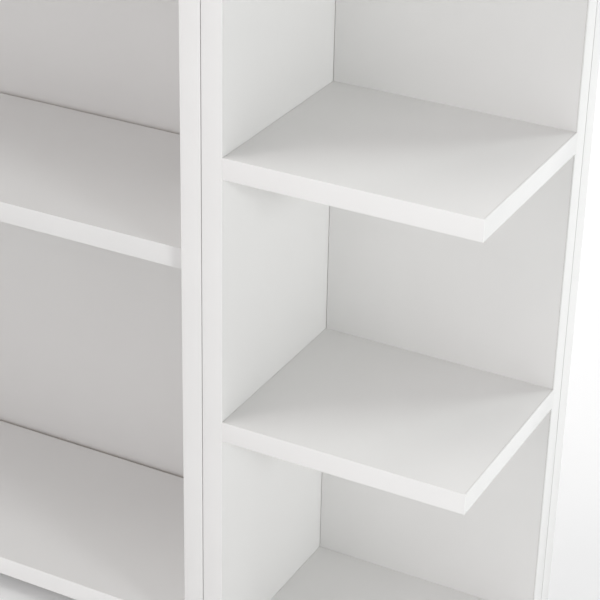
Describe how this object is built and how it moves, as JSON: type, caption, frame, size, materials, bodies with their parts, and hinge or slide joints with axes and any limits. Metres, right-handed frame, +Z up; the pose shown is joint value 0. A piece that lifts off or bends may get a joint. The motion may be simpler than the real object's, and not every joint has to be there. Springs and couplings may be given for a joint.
{
  "type": "low bookcase with open end unit",
  "caption": "Low white board bookcase: a wide bay with one fixed shelf, and an open-ended corner unit of square shelves at its right, under one top.",
  "frame": {"origin": "on the floor, under the middle of the whole bookcase", "axes": "+Z up, +X to the right seen from the front, -Y is the front that the shelves open to"},
  "size_m": [0.7936, 0.1832, 0.597],
  "materials": {
    "white_faced_chipboard": "15 mm chipboard faced both sides in satin white melamine, very fine pearl texture",
    "white_edging": "1 mm white plastic edging strip, smooth satin, long edges rounded over",
    "zinc_steel_screw": "bright zinc plated steel",
    "die_cast_zinc": "dull die-cast zinc",
    "beech_dowel": "turned fluted beech, unfinished",
    "white_cap": "moulded white plastic, low gloss",
    "glide_plastic": "moulded off-white plastic, matt"
  },
  "bodies": {
    "root": {"bottom_board": "white_faced_chipboard", "bottom_board_front_edging": "white_edging", "cam_bolts": "zinc_steel_screw", "cam_caps": "white_cap", "cam_locks": "die_cast_zinc", "end_back_carcass_screws": "zinc_steel_screw", "end_back_edging": "white_edging", "end_back_panel": "white_faced_chipboard", "end_bottom_board": "white_faced_chipboard", "end_bottom_board_end_edging": "white_edging", "end_bottom_board_front_edging": "white_edging", "end_lower_shelf": "white_faced_chipboard", "end_lower_shelf_end_edging": "white_edging", "end_lower_shelf_front_edging": "white_edging", "end_side_carcass_screws": "zinc_steel_screw", "end_side_front_edging": "white_edging", "end_side_panel": "white_faced_chipboard", "end_upper_shelf": "white_faced_chipboard", "end_upper_shelf_end_edging": "white_edging", "end_upper_shelf_front_edging": "white_edging", "glide_nails": "zinc_steel_screw", "glides": "glide_plastic", "left_carcass_screws": "zinc_steel_screw", "left_screw_caps": "white_cap", "left_side_front_edging": "white_edging", "left_side_panel": "white_faced_chipboard", "middle_shelf": "white_faced_chipboard", "middle_shelf_front_edging": "white_edging", "rear_panel": "white_faced_chipboard", "rear_panel_left_edging": "white_edging", "rear_panel_long_screws": "zinc_steel_screw", "rear_panel_right_edging": "white_edging", "rear_panel_short_screws": "zinc_steel_screw", "right_carcass_screws": "zinc_steel_screw", "right_side_front_edging": "white_edging", "right_side_panel": "white_faced_chipboard", "top_board": "white_faced_chipboard", "top_dowels": "beech_dowel", "top_front_edging": "white_edging", "top_left_edging": "white_edging", "top_rear_edging": "white_edging", "top_right_edging": "white_edging", "unit_joining_screws": "zinc_steel_screw"}
  },
  "joints": []
}
